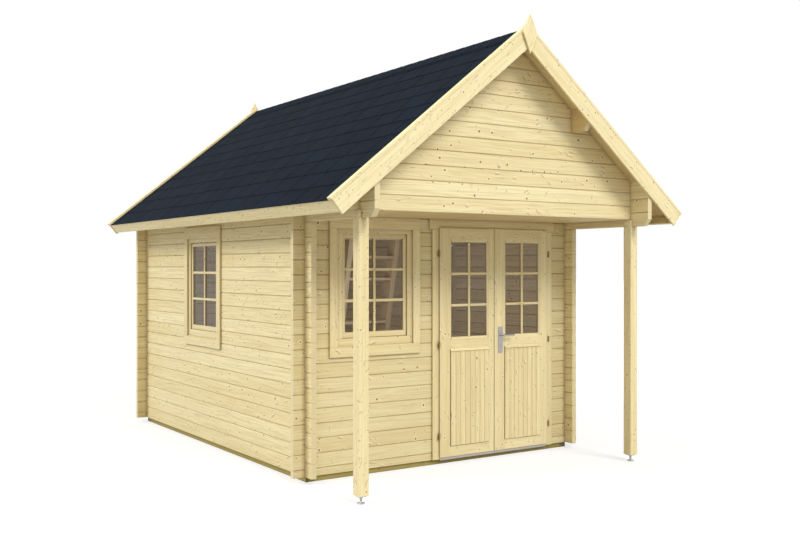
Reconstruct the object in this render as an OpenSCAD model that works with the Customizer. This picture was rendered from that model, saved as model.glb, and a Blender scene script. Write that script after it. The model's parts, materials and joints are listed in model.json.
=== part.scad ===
// Garden cabin of planed interlocking logs, with a gabled porch on two posts, a double door,
// a window in the front and in each side, and a sleeping loft reached by a ladder.
// X runs along the front, Y from the porch to the back, Z up. The ground is at z = 0 and the
// origin lies under the middle of the roof.

/* [Logs] */
// Height of one course of logs
log_h = 114; // [90:1:140]
// Thickness of a log
log_t = 44; // [34:1:56]
// Length of a log end past the wall that it crosses
log_end = 100; // [70:5:140]
// Depth of the V between two courses
log_groove = 6; // [3:0.5:8]

/* [Cabin] */
// Width over the side walls
cabin_w = 2720; // [2500:10:3400]
// Depth over the front and back walls
cabin_d = 3590; // [2900:10:4600]
// Courses of whole logs in a side wall
courses = 17; // [15:1:19]
// Depth of the porch, from the front wall to the front of its gable
porch_d = 800; // [700:10:1100]
// Height of the foundation beams
base_h = 45; // [40:1:80]
// Width of the foundation beams
base_w = 70; // [60:1:100]
// Distance of the foundation behind the wall faces
base_inset = 20; // [0:1:24]
// Thickness of the floor boards
floor_t = 19; // [16:1:28]
// Bearers under the floor, between the front and back beams
bearers = 3; // [2:1:5]

/* [Roof] */
// Pitch of the roof in degrees
roof_pitch = 38.73; // [32:0.01:44]
// Courses of plate logs on each side wall, the top one bevelled to the roof
plate_courses = 3; // [2:1:4]
// Part of the top plate log that is planed off at the wall's face
plate_planed = 4; // [0:1:20]
// Reach of the roof past the side walls
eave_out = 336; // [250:1:420]
// Reach of the roof past the porch gable
front_out = 192; // [120:1:240]
// Reach of the roof past the back wall
back_out = 152; // [120:1:240]
// Thickness of the roof boards
roof_board_t = 20; // [16:1:28]
// Thickness of the shingles
shingle_t = 6.5; // [4:0.5:10]
// Height of the purlins at their outer face
purlin_h = 147; // [100:1:180]
// Distance from the ridge to the middle of a side purlin
purlin_x = 652; // [500:1:800]
// Height of the ridge purlin at its faces
ridge_purlin_h = 122; // [90:1:160]
// Depth of the sloping cut under the ends of plates and purlins
end_cut_d = 45; // [20:1:80]
// Height of that sloping cut
end_cut_h = 57; // [20:1:80]

/* [Roof edges] */
// Width of the bargeboards
barge_w = 120; // [90:1:160]
// Thickness of bargeboards, fascias and finials
barge_t = 18; // [14:1:24]
// Width of the laths on the bargeboards
cap_w = 50; // [40:1:70]
// Thickness of those laths
cap_t = 22; // [15:1:28]
// Length of a lath's end past its bargeboard
cap_over = 7; // [0:1:20]
// Width of the eave fascias
fascia_w = 100; // [70:1:130]
// Distance of the fascias behind the bargeboard ends
fascia_back = 5; // [0:1:20]
// Height of the finials' points over the roof boards' underside at the ridge
finial_rise = 130; // [110:1:200]
// Height of a finial
finial_h = 299; // [200:1:360]
// Widest part of a finial
finial_w = 138; // [100:1:180]

/* [Posts] */
// Side of a porch post
post_w = 80; // [76:1:120]
// Height of the adjustable feet
foot_h = 57; // [50:1:90]
// Diameter of a foot's disc
foot_d = 56; // [40:1:80]
// Diameter of a foot's rod
foot_rod_d = 18; // [12:1:24]
// Side of the plate on top of a foot
foot_plate_w = 60; // [50:1:76]

/* [Windows] */
// Distance from the cabin's corner to the middle of the front window
front_window_x = 633; // [600:1:680]
// Distance from the front wall to the middle of the side windows
side_window_y = 2004; // [1500:1:2300]
// Height of the side windows below the front one
side_window_drop = 36; // [0:1:60]
// Width inside a window's trim
window_w = 710; // [600:1:740]
// Height inside a window's trim
window_h = 923; // [800:1:1000]
// Width of the trim's side boards
trim_w = 70; // [50:1:90]
// Height of the trim's lower board
trim_low_h = 81; // [60:1:100]
// Height of the trim's upper board
trim_top_h = 106; // [80:1:110]
// Height of that board on the front window, under the porch ceiling
trim_front_h = 95; // [80:1:110]
// Thickness of the trim
trim_t = 18; // [14:1:22]
// Width of the sash
sash_w = 608; // [540:1:620]
// Height of the sash
sash_h = 818; // [740:1:830]
// Height from the trim's lower board to the sash
sash_up = 65; // [50:1:80]
// Width of a sash's stiles
sash_stile = 29; // [25:1:50]
// Height of a sash's lower rail
sash_low_rail = 46; // [30:1:70]
// Height of a sash's upper rail
sash_top_rail = 32; // [25:1:60]
// Thickness of a sash
sash_t = 32; // [28:1:36]
// Thickness of the glass
glass_t = 6; // [4:1:10]

/* [Door] */
// Distance from the cabin's corner to the middle of the double door
door_x = 878; // [850:1:900]
// Width of the two leaves together
door_w = 1194; // [1100:2:1230]
// Width of the leaf that opens first, with the lever
active_leaf_w = 617; // [560:1:640]
// Gap between the leaves
leaf_gap = 6; // [5:1:10]
// Thickness of a leaf
leaf_t = 42; // [38:1:50]
// Thickness of the lip that closes over the trim
lip_t = 13; // [10:1:16]
// Width of that lip
lip_w = 13; // [10:1:18]
// Clearance between the lip and the trim
lip_gap = 7; // [6:1:10]
// Clearance round the leaf behind its lip
leaf_clear = 5; // [5:1:8]
// Height of the leaves over the threshold
leaf_up = 6; // [5:1:10]
// Width of the panes in the leaves
door_glass_w = 379; // [340:1:390]
// Height of those panes
door_glass_h = 794; // [700:1:820]
// Height of a leaf's top rail
top_rail_h = 117; // [90:1:130]
// Height of a leaf's middle rail
middle_rail_h = 118; // [90:1:140]
// Height of a leaf's bottom rail
bottom_rail_h = 86; // [70:1:140]
// Meeting stile of the leaf with the lever
active_stile = 128; // [110:1:140]
// Meeting stile of the other leaf
passive_stile = 73; // [65:1:80]
// Part of the lower panel that is wider than the pane, at each side
panel_wider = 14; // [0:1:24]
// Thickness of the lower panel
panel_t = 20; // [16:1:24]
// Projection of the lower panel from a leaf's face
panel_out = 9; // [4:1:12]
// Height of the weather bead over the panel
bead_h = 24; // [16:1:30]
// Projection of the weather bead from a leaf's face
bead_out = 16; // [12:1:22]
// Width of the door's side trim
door_trim_w = 76; // [60:1:90]
// Height of the door's head trim
door_head_h = 85; // [70:1:100]
// Length of the head trim past the side trim
door_head_over = 27; // [0:1:40]
// Thickness of the door frame
jamb_t = 48; // [40:1:60]
// Width of the stop in the door frame
stop_w = 18; // [12:1:24]
// Height of the threshold
threshold_h = 11; // [8:1:18]
// Thickness of the threshold's front flange
flange_t = 3; // [2:1:6]
// Drop of that flange in front of the foundation
flange_drop = 9; // [0:1:20]

/* [Door fittings] */
// Width of the lever's plates
plate_w = 46; // [36:1:54]
// Height of the lever's plates
plate_h = 225; // [180:1:250]
// Thickness of the lever's plates
plate_t = 4; // [3:1:6]
// Height of the plates' lower ends over the threshold
plate_up = 845; // [800:1:900]
// Height of the lever over the plates' lower ends
lever_up = 154; // [120:1:170]
// Reach of the lever
lever_l = 130; // [100:1:140]
// Distance from a leaf's face to the lever's axis
lever_out = 50; // [40:1:60]
// Diameter of the lever's bar
lever_d = 17; // [14:0.5:20]
// Diameter of the lever's neck in its plates
neck_d = 18; // [14:0.5:22]
// Diameter of a hinge's barrel
hinge_d = 14; // [10:1:15]
// Height of a hinge's barrel
hinge_h = 48; // [40:1:80]
// Distance from a leaf's edge to its hinge axis
hinge_out = 8; // [8:0.5:10]
// Distance from the leaves' front face back to the hinge axis
hinge_back = 3; // [2:0.5:5]
// Height of the upper hinges below the leaves' top
hinge_down = 213; // [150:1:260]
// Height of the lower hinges over the leaves' bottom
hinge_up = 178; // [150:1:260]

/* [Loft] */
// Thickness of the loft floor and the porch ceiling
loft_t = 28; // [19:1:35]
// Depth of the loft behind the front wall
loft_d = 1220; // [900:1:1400]
// Height of the beam under the loft's edge
loft_beam_h = 140; // [100:1:180]
// Lean of the ladder in degrees
ladder_lean = 12.15; // [8:0.05:18]
// Width over the ladder's rails
ladder_w = 570; // [450:1:620]
// Distance of the ladder's middle to the right of the ridge
ladder_x = 66; // [-100:1:100]
// Depth of rails and treads
ladder_d = 126; // [70:1:140]
// Thickness of the rails
rail_t = 52; // [22:1:60]
// Thickness of the treads
tread_t = 27; // [20:1:32]
// Height from one tread to the next
tread_step = 209; // [180:1:240]
// Reach of the rails over the loft floor
rail_over = 32; // [0:1:100]

/* [Fits] */
// Gap left where one piece rests on or in another
seat = 0.3; // [0.1:0.05:0.5]
// Running clearance of the lever's neck in its plates
neck_clear = 0.1; // [0.05:0.01:0.1]

/* [Hidden] */
$fn = 48;

spruce = "#e6d6a4";
spruce_shade = "#d9c791";
impregnated = "#8c7d42";
bitumen = "#2b313b";
glazing = [0.62, 0.6, 0.55, 0.45];
satin_steel = "#b2b0b2";
dark_steel = "#4a3a2c";
aluminium = "#a9abac";
zinc = "#a9aaa8";

through = 10;   // how far a cutting solid stands out of what it cuts
half_w = cabin_w / 2;
side_top = base_h + courses * log_h;
front_top = side_top + log_h / 2;
floor_top = base_h + floor_t;
inner_x = half_w - log_t;
inner_back = cabin_d - log_t;
log_reach = half_w + log_end;

// Roof planes: the boards' underside is a straight line in x, highest over the ridge
roof_front = -porch_d - front_out;
roof_back = cabin_d + back_out;
middle_y = (roof_front + roof_back) / 2;
roof_at_wall = side_top + plate_courses * log_h - plate_planed;
roof_apex = roof_at_wall + tan(roof_pitch) * half_w;
roof_t = roof_board_t + shingle_t;
slope_end = (half_w + eave_out - roof_t * sin(roof_pitch)) / cos(roof_pitch);
fascia_at = slope_end - fascia_back - barge_t;
purlin_low = roof_under(purlin_x + log_t / 2) - purlin_h;
ridge_low = roof_under(log_t / 2) - ridge_purlin_h;

function roof_under(x) = roof_apex - tan(roof_pitch) * abs(x);

// A point at a distance down the slope and at a height square to the roof boards' underside
function slope_point(along, up) = [
    along * cos(roof_pitch) + up * sin(roof_pitch),
    roof_apex - along * sin(roof_pitch) + up * cos(roof_pitch)
];

// A layer of the roof from one height to another, cut upright at the ridge
function slope_layer(low, high, length) = [
    [0, roof_apex + low / cos(roof_pitch)],
    [0, roof_apex + high / cos(roof_pitch)],
    slope_point(length, high),
    slope_point(length, low)
];

// Windows, measured from the wall's outer face and the inner corners of the trim
window_low = front_top - trim_front_h - window_h;
frame_lap = 10;
window_hole_w = window_w + 2 * frame_lap;
window_hole_low = window_low - frame_lap;
window_hole_h = window_h + 2 * frame_lap;
sash_low = window_low + sash_up;
sash_clear = 2;
sash_front = 12;
glass_back = 12;   // from the sash's face to the pane

// Door, measured from the front wall's outer face
door_mid = half_w - door_x;
leaf_front = -(trim_t + lip_gap + lip_t);
leaf_rear = leaf_front + leaf_t;
leaf_low = base_h + threshold_h + leaf_up;
leaf_top = front_top - door_head_h + lip_w;
left_edge = door_mid - door_w / 2;
right_edge = door_mid + door_w / 2;
clear_left = left_edge + lip_w;
clear_right = right_edge - lip_w;
door_hole_left = clear_left - jamb_t;
door_hole_right = clear_right + jamb_t;
door_clear_top = leaf_top - lip_w;
door_hole_top = door_clear_top + jamb_t;
passive_leaf_w = door_w - leaf_gap - active_leaf_w;
stop_gap = 6;
stop_y = leaf_rear + stop_gap;
door_glass_low = leaf_top - top_rail_h - door_glass_h;
panel_low = leaf_low + bottom_rail_h;
panel_top = door_glass_low - middle_rail_h;
bead_over = 4;          // the weather bead, past each side of the panel
bead_edge = 9;          // the bead's upright edge
door_glass_back = 18;   // from the leaf's face to the pane
door_glass_y = leaf_front + door_glass_back;
hinge_y = leaf_front + hinge_back;
hinge_zs = [leaf_low + hinge_up, (leaf_low + hinge_up + leaf_top - hinge_down) / 2, leaf_top - hinge_down];
lever_x = right_edge - active_leaf_w + active_stile / 2;
plate_low = base_h + threshold_h + plate_up;
lever_z = plate_low + lever_up;
spindle_clear = 2;   // round the lever's neck in the leaf
keyhole_up = 68;
keyhole_d = 10;
keyhole_slot_w = 4;
keyhole_slot_h = 18;

// Loft and ladder
loft_low = front_top;
loft_top = loft_low + loft_t;
rail_depth = ladder_d / cos(ladder_lean);

treads = floor((loft_low - floor_top - tread_t) / tread_step);

function ladder_y(z) = loft_d + seat + rail_depth / 2 + (loft_top - z) * tan(ladder_lean);

// Helpers: a section in (y, z) drawn along x, and one in (x, z) drawn along y
module along_x(x0, x1) translate([x0, 0, 0]) rotate([90, 0, 90]) linear_extrude(x1 - x0) children();

module along_y(y0, y1) translate([0, y1, 0]) rotate([90, 0, 0]) linear_extrude(y1 - y0) children();

module both_sides() {
    children();
    mirror([1, 0, 0]) children();
}

// Puts the origin under the middle of the roof
module in_frame() translate([0, -middle_y, 0]) children();

module box(low, high) translate(low) cube(high - low);

// One face of a log wall from bottom to top: [depth, height], with a V at every joint
function wall_face(z0, z1, joints, low_bevel, top_bevel) = concat(
    low_bevel > 0 ? [[low_bevel, z0], [0, z0 + low_bevel]] : [[0, z0]],
    [for (z = joints) for (p = [[0, z - log_groove], [log_groove, z], [0, z + log_groove]]) p],
    top_bevel > 0 ? [[0, z1 - top_bevel], [top_bevel, z1]] : [[0, z1]]
);

function backwards(points) = [for (i = [len(points) - 1 : -1 : 0]) points[i]];

function wall_section(z0, z1, joints, low_bevel, top_bevel) =
    let (face = wall_face(z0, z1, joints, low_bevel, top_bevel))
    concat(face, backwards([for (p = face) [log_t - p[0], p[1]]]));

// Joints between the courses of the front, back and gable walls, half a log above the side walls'
function cross_joints(z0, z1) = [
    for (z = [base_h + log_h / 2 : log_h : z1 - log_groove]) if (z > z0 + log_groove) z
];

function side_joints(z0, z1) = [
    for (z = [base_h + log_h : log_h : z1 - log_groove]) if (z > z0 + log_groove) z
];

// Slots in a cross wall for the side logs: each log is cut away by a quarter above and below
module side_log_slots(y0) {
    for (side = [-1, 1])
        for (k = [0 : courses + plate_courses - 1])
            translate([side * (half_w - log_t / 2), y0 + log_t / 2, base_h + (k + 0.5) * log_h])
                cube([log_t + 2 * seat, log_t + through, log_h / 2 + seat], center = true);
}

// Slots in the left wall or its plates for the logs of a cross wall
module cross_log_slots(y0, first, last) {
    for (k = [first : last])
        translate([log_t / 2 - half_w, y0 + log_t / 2, base_h + k * log_h])
            cube([log_t + through, log_t + 2 * seat, log_h / 2 + seat], center = true);
}

module cross_wall(y0, x0, x1, z0, z1, low_bevel) {
    difference() {
        translate([0, y0, 0])
            along_x(x0, x1)
                polygon(wall_section(z0, z1, cross_joints(z0, z1), low_bevel, log_groove));
        side_log_slots(y0);
    }
}

module left_log_wall() {
    difference() {
        along_y(-log_end, cabin_d + log_end)
            translate([-half_w, 0])
                polygon(wall_section(base_h, side_top, side_joints(base_h, side_top), 0, log_groove));
        cross_log_slots(0, 0, courses);
        cross_log_slots(inner_back, 0, courses);
        box([-half_w - through, side_window_y - window_hole_w / 2, window_hole_low - side_window_drop],
            [-inner_x + through, side_window_y + window_hole_w / 2,
             window_hole_low - side_window_drop + window_hole_h]);
    }
}

module left_wall() color(spruce) in_frame() left_log_wall();

module right_wall() color(spruce) in_frame() mirror([1, 0, 0]) left_log_wall();

module back_wall() {
    color(spruce) in_frame() cross_wall(inner_back, -log_reach, log_reach, base_h, front_top, 0);
}

module front_wall_left() {
    middle = front_window_x - half_w;
    color(spruce) in_frame() difference() {
        cross_wall(0, -log_reach, door_hole_left - seat, base_h, front_top, 0);
        box([middle - window_hole_w / 2, -through, window_hole_low],
            [middle + window_hole_w / 2, log_t + through, window_hole_low + window_hole_h]);
    }
}

module front_wall_right() {
    color(spruce) in_frame()
        cross_wall(0, door_hole_right + seat, log_reach, base_h, front_top, 0);
}

module front_wall_over_door() {
    color(spruce) in_frame()
        cross_wall(0, door_hole_left, door_hole_right, door_hole_top + seat, front_top, 0);
}

// Plate logs lie on the side wall, carry the porch and are bevelled to the roof
module left_plates() {
    low = side_top + seat;
    high_out = roof_under(half_w) - seat;
    high_in = roof_under(inner_x) - seat;
    joints = side_joints(side_top, high_out - 2 * log_groove);
    outer = [for (p = wall_face(low, high_out, joints, log_groove, 0)) [p[0] - half_w, p[1]]];
    inner = [for (p = wall_face(low, high_in, joints, log_groove, 0)) [-inner_x - p[0], p[1]]];
    last = courses + plate_courses;
    difference() {
        intersection() {
            along_y(roof_front + seat, roof_back - seat) polygon(concat(outer, backwards(inner)));
            along_x(-half_w - through, -inner_x + through) ends_cut_below(low, high_in);
        }
        cross_log_slots(0, courses, courses);
        cross_log_slots(inner_back, courses, last);
        cross_log_slots(-porch_d, courses + 1, last);
        for (y0 = [inner_back, -porch_d])
            box([-half_w - through, y0 - seat, base_h + last * log_h],
                [-inner_x + through, y0 + log_t + seat, high_in + through]);
    }
}

// Side view of a roof member with a sloping cut under each end
module ends_cut_below(low, high) {
    polygon([
        [roof_front + seat, low + end_cut_h], [roof_front + seat + end_cut_d, low],
        [roof_back - seat - end_cut_d, low], [roof_back - seat, low + end_cut_h],
        [roof_back - seat, high + through], [roof_front + seat, high + through]
    ]);
}

module left_plate_logs() color(spruce) in_frame() left_plates();

module right_plate_logs() color(spruce) in_frame() mirror([1, 0, 0]) left_plates();

// A gable of logs under the roof boards, slotted for plates, purlins and the ridge
module gable(y0) {
    difference() {
        intersection() {
            cross_wall(y0, -log_reach, log_reach, front_top + seat, roof_apex + log_groove, log_groove);
            along_y(y0 - through, y0 + log_t + through)
                polygon([
                    [-log_reach, front_top], [log_reach, front_top],
                    [log_reach, roof_under(log_reach) - seat], [0, roof_apex - seat],
                    [-log_reach, roof_under(log_reach) - seat]
                ]);
        }
        for (x = [-purlin_x, purlin_x])
            box([x - log_t / 2 - seat, y0 - through, purlin_low - seat],
                [x + log_t / 2 + seat, y0 + log_t + through, roof_apex]);
        box([-log_t / 2 - seat, y0 - through, ridge_low - seat],
            [log_t / 2 + seat, y0 + log_t + through, roof_apex + through]);
    }
}

module porch_gable() color(spruce) in_frame() gable(-porch_d);

module back_gable() color(spruce) in_frame() gable(inner_back);

module ridge_purlin() {
    faces = roof_under(log_t / 2) - seat;
    color(spruce_shade) in_frame() intersection() {
        along_y(roof_front + seat, roof_back - seat)
            polygon([
                [-log_t / 2, ridge_low], [log_t / 2, ridge_low],
                [log_t / 2, faces], [0, roof_apex - seat], [-log_t / 2, faces]
            ]);
        along_x(-log_t, log_t) ends_cut_below(ridge_low, roof_apex);
    }
}

module side_purlins() {
    near = purlin_x - log_t / 2;
    far = purlin_x + log_t / 2;
    color(spruce_shade) in_frame() both_sides() intersection() {
        along_y(roof_front + seat, roof_back - seat)
            polygon([
                [near, purlin_low], [far, purlin_low],
                [far, roof_under(far) - seat], [near, roof_under(near) - seat]
            ]);
        along_x(near - through, far + through) ends_cut_below(purlin_low, roof_under(near));
    }
}

// Boards and shingles lie between the bargeboards, from the ridge to the eave
module right_slope(low, high, length, ridge_gap) {
    intersection() {
        along_y(roof_front + seat, roof_back - seat) polygon(slope_layer(low, high, length));
        box([ridge_gap, roof_front, 0], [2 * half_w, roof_back, 2 * roof_apex]);
    }
}

module right_boards() right_slope(0, roof_board_t, fascia_at - seat, seat / 2);

module right_cover() right_slope(roof_board_t + seat, roof_t, slope_end, seat / 2);

module left_roof_boards() color(spruce_shade) in_frame() mirror([1, 0, 0]) right_boards();

module right_roof_boards() color(spruce_shade) in_frame() right_boards();

module left_shingles() color(bitumen) in_frame() mirror([1, 0, 0]) right_cover();

module right_shingles() color(bitumen) in_frame() right_cover();

module eave_fascias() {
    low = roof_board_t - fascia_w;
    color(spruce) in_frame() both_sides()
        along_y(roof_front + seat, roof_back - seat)
            polygon([
                slope_point(fascia_at, low), slope_point(fascia_at, roof_board_t),
                slope_point(fascia_at + barge_t, roof_board_t), slope_point(fascia_at + barge_t, low)
            ]);
}

// Front and back edges of the roof
module at_both_verges(depth, out) {
    translate([0, roof_front - out, 0]) children();
    translate([0, roof_back + out - depth, 0]) children();
}

module verge_pair(low, high, length, depth) {
    both_sides() intersection() {
        along_y(0, depth) polygon(slope_layer(low, high, length));
        box([seat / 2, 0, 0], [2 * half_w, depth, 2 * roof_apex]);
    }
}

module bargeboards() {
    color(spruce) in_frame() at_both_verges(barge_t, barge_t)
        verge_pair(roof_t - barge_w, roof_t, slope_end, barge_t);
}

module cap_laths() {
    color(spruce) in_frame() at_both_verges(cap_w, barge_t)
        verge_pair(roof_t + seat, roof_t + seat + cap_t, slope_end + cap_over, cap_w);
}

// A finial is widest near its middle and narrows in a kink to its point
module finial() {
    top = roof_apex + finial_rise;
    widest_z = top - 0.49 * finial_h;
    kink_z = top - 0.26 * finial_h;
    kink_x = 0.29 * finial_w;
    along_y(0, barge_t - seat)
        polygon([
            [0, top - finial_h], [finial_w / 2, widest_z], [kink_x, kink_z],
            [0, top], [-kink_x, kink_z], [-finial_w / 2, widest_z]
        ]);
}

module finials() {
    color(spruce) in_frame() {
        translate([0, roof_front - 2 * barge_t, 0]) finial();
        translate([0, roof_back + barge_t + seat, 0]) finial();
    }
}

// Posts stand under the corners of the porch gable, slotted over the plate logs
module at_posts() both_sides() translate([half_w - log_t / 2, log_t / 2 - porch_d, 0]) children();

module porch_posts() {
    color(spruce) in_frame() at_posts() difference() {
        box([-post_w / 2, -post_w / 2, foot_h + seat], [post_w / 2, post_w / 2, front_top]);
        box([-log_t / 2 - seat, -post_w, side_top], [log_t / 2 + seat, post_w, front_top + through]);
    }
}

module post_feet() {
    disc_t = 8;
    plate_thick = 6;
    color(zinc) in_frame() at_posts() {
        cylinder(d = foot_d, h = disc_t);
        cylinder(d = foot_rod_d, h = foot_h - plate_thick / 2);
        box([-foot_plate_w / 2, -foot_plate_w / 2, foot_h - plate_thick],
            [foot_plate_w / 2, foot_plate_w / 2, foot_h]);
    }
}

// Foundation: side beams run through, the others lie between them
module foundation_beams() {
    outer = half_w - base_inset;
    inner = outer - base_w;
    front = base_inset;
    back = cabin_d - base_inset;
    pitch = (back - front - base_w) / (bearers + 1);
    color(impregnated) in_frame() {
        both_sides() box([inner, front, 0], [outer, back, base_h]);
        for (i = [0 : bearers + 1])
            translate([0, front + i * pitch, 0])
                box([-inner + seat, 0, 0], [inner - seat, base_w, base_h]);
    }
}

module floor_boards() {
    gap = 2;   // to the walls, for the boards to swell
    color(spruce_shade) in_frame()
        box([-inner_x + gap, log_t + gap, base_h + seat], [inner_x - gap, inner_back - gap, floor_top]);
}

module loft_floor() {
    color(spruce_shade) in_frame()
        box([-inner_x + seat, log_t - porch_d + seat, loft_low + seat], [inner_x - seat, loft_d, loft_top]);
}

module loft_beam() {
    color(spruce) in_frame()
        box([-inner_x + seat, loft_d - log_t, loft_low - loft_beam_h], [inner_x - seat, loft_d, loft_low]);
}

module ladder_rails() {
    low = floor_top + seat;
    high = loft_top + rail_over;
    half = rail_depth / 2;
    color(spruce_shade) in_frame()
        for (side = [-1, 1])
            translate([ladder_x + side * (ladder_w - rail_t) / 2 - rail_t / 2, 0, 0])
                along_x(0, rail_t)
                    polygon([
                        [ladder_y(low) - half, low], [ladder_y(low) + half, low],
                        [ladder_y(high) + half, high], [ladder_y(high) - half, high]
                    ]);
}

module ladder_treads() {
    half = ladder_w / 2 - rail_t - seat;
    color(spruce_shade) in_frame()
        for (i = [1 : treads])
            let (z = floor_top + i * tread_step)
                translate([ladder_x, ladder_y(z), z])
                    box([-half, -ladder_d / 2, -tread_t / 2], [half, ladder_d / 2, tread_t / 2]);
}

// Windows: drawn with the wall's outer face at y = 0, across x and up z, then set in each wall
module at_front_window() translate([front_window_x - half_w, 0, 0]) children();

module at_side_windows() {
    both_sides() translate([-half_w, side_window_y, -side_window_drop]) rotate([0, 0, -90]) children();
}

// Four boards or rails round an opening; the upright ones stand between the others or past them
module ring(w, low, h, side, low_h, top_h, y0, y1) {
    box([-w / 2 - side, y0, low - low_h], [w / 2 + side, y1, low]);
    box([-w / 2 - side, y0, low + h], [w / 2 + side, y1, low + h + top_h]);
    for (s = [-1, 1])
        translate([s * (w + side) / 2, 0, 0])
            box([-side / 2, y0, low + seat], [side / 2, y1, low + h - seat]);
}

module window_trim(top_h) ring(window_w, window_low, window_h, trim_w, trim_low_h, top_h, -trim_t, -seat);

module window_trims() {
    color(spruce) in_frame() {
        at_front_window() window_trim(trim_front_h);
        at_side_windows() window_trim(trim_top_h);
    }
}

module window_frame() {
    inner_w = sash_w + 2 * sash_clear;
    inner_h = sash_h + 2 * sash_clear;
    inner_low = sash_low - sash_clear;
    side = (window_hole_w - inner_w) / 2 - seat;
    low_h = inner_low - window_hole_low - seat;
    top_h = window_hole_h - inner_h - low_h - 2 * seat;
    ring(inner_w, inner_low, inner_h, side, low_h, top_h, 0, log_t);
}

module window_frames() color(spruce) in_frame() {
    at_front_window() window_frame();
    at_side_windows() window_frame();
}

// The sash lies on the frame's sill, within its clearance
module window_sash() {
    translate([0, 0, seat - sash_clear])
        ring(sash_w - 2 * sash_stile, sash_low + sash_low_rail, sash_h - sash_low_rail - sash_top_rail,
             sash_stile, sash_low_rail, sash_top_rail, sash_front, sash_front + sash_t);
}

module window_sashes() color(spruce) in_frame() {
    at_front_window() window_sash();
    at_side_windows() window_sash();
}

module window_pane() {
    half = sash_w / 2 - sash_stile - seat;
    low = sash_low + sash_low_rail + 2 * seat - sash_clear;
    high = sash_low + sash_h - sash_top_rail - sash_clear;
    box([-half, sash_front + glass_back, low], [half, sash_front + glass_back + glass_t, high]);
}

module window_panes() color(glazing) in_frame() {
    at_front_window() window_pane();
    at_side_windows() window_pane();
}

// Door frame with stops, trim and threshold
module door_frame() {
    color(spruce) in_frame() {
        for (side = [0, 1])
            translate([door_mid, 0, 0]) mirror([side, 0, 0]) translate([-door_mid, 0, base_h])
                linear_extrude(door_clear_top - base_h - seat)
                    polygon([
                        [door_hole_left, 0], [clear_left, 0], [clear_left, stop_y],
                        [clear_left + stop_w, stop_y], [clear_left + stop_w, log_t], [door_hole_left, log_t]
                    ]);
        along_x(door_hole_left, door_hole_right)
            polygon([
                [0, door_clear_top], [stop_y, door_clear_top], [stop_y, door_clear_top - stop_w],
                [log_t, door_clear_top - stop_w], [log_t, door_hole_top], [0, door_hole_top]
            ]);
    }
}

module door_trim() {
    trim_low = door_clear_top;
    color(spruce) in_frame() {
        for (x = [clear_left - door_trim_w, clear_right])
            box([x, -trim_t, base_h], [x + door_trim_w, -seat, trim_low - seat]);
        box([clear_left - door_trim_w - door_head_over, -trim_t, trim_low],
            [clear_right + door_trim_w + door_head_over, -seat, front_top]);
    }
}

// The threshold's cover comes forward under the leaves and turns down over the foundation
module threshold() {
    front = -trim_t;
    top = base_h + threshold_h;
    color(aluminium) in_frame()
        along_x(clear_left + seat, clear_right - seat)
            polygon([
                [front, base_h - flange_drop], [front, top], [stop_y - seat, top],
                [stop_y - seat, base_h + seat], [front + flange_t, base_h + seat],
                [front + flange_t, base_h - flange_drop]
            ]);
}

// Hinge knuckles: the lower half of each barrel stands on the trim, the upper half on the leaf
module at_hinges() {
    for (z = hinge_zs)
        translate([left_edge - hinge_out, hinge_y, z - hinge_h / 2]) children();
}

module frame_knuckle() {
    arm = hinge_d / 4;
    cylinder(d = hinge_d, h = hinge_h / 2 - seat);
    box([-arm, 0, 0], [arm, -trim_t - seat - hinge_y, hinge_h / 2 - seat]);
}

module leaf_knuckle() {
    arm = hinge_back - seat;
    translate([0, 0, hinge_h / 2]) {
        cylinder(d = hinge_d, h = hinge_h / 2);
        box([0, -arm, 0], [hinge_out - seat, arm, hinge_h / 2]);
    }
}

// Mirrors the left leaf's hinges about the middle of the door
module other_leaf() translate([2 * door_mid, 0, 0]) mirror([1, 0, 0]) children();

module frame_hinges() {
    color(dark_steel) in_frame() {
        at_hinges() frame_knuckle();
        other_leaf() at_hinges() frame_knuckle();
    }
}

module left_door_hinges() color(dark_steel) in_frame() at_hinges() leaf_knuckle();

module right_door_hinges() color(dark_steel) in_frame() other_leaf() at_hinges() leaf_knuckle();

// A leaf with its hinged edge at x = 0 and its meeting edge at x = w
module leaf(w, meeting_stile) {
    glass_x = w - meeting_stile - door_glass_w;
    panel_x = glass_x - panel_wider;
    panel_end = glass_x + door_glass_w + panel_wider;
    difference() {
        union() {
            box([0, leaf_front, leaf_low], [w, leaf_front + lip_t, leaf_top]);
            box([lip_w + leaf_clear, leaf_front, leaf_low],
                [w - leaf_clear, leaf_rear, leaf_top - lip_w - leaf_clear]);
            box([panel_x, leaf_front - panel_out, panel_low], [panel_end, leaf_front, panel_top]);
            translate([panel_x - bead_over, 0, panel_top])
                weather_bead(panel_end - panel_x + 2 * bead_over);
        }
        box([glass_x, leaf_front - through, door_glass_low],
            [glass_x + door_glass_w, leaf_rear + through, door_glass_low + door_glass_h]);
        box([panel_x, leaf_front - panel_out + panel_t, panel_low],
            [panel_end, leaf_rear + through, panel_top]);
    }
}

// A bead with a sloping top that leads the rain over the panel
module weather_bead(length) {
    rotate([90, 0, 90]) linear_extrude(length)
        polygon([[leaf_front, 0], [leaf_front - bead_out, 0], [leaf_front - bead_out, bead_edge],
                 [leaf_front, bead_h]]);
}

module leaf_pane(w, meeting_stile) {
    glass_x = w - meeting_stile - door_glass_w;
    box([glass_x + seat, door_glass_y, door_glass_low + seat],
        [glass_x + door_glass_w - seat, door_glass_y + glass_t, door_glass_low + door_glass_h - seat]);
}

module at_left_leaf() translate([left_edge, 0, 0]) children();

module at_right_leaf() translate([right_edge, 0, 0]) mirror([1, 0, 0]) children();

module left_door() color(spruce) in_frame() at_left_leaf() leaf(passive_leaf_w, passive_stile);

module left_door_panes() color(glazing) in_frame() at_left_leaf() leaf_pane(passive_leaf_w, passive_stile);

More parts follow.
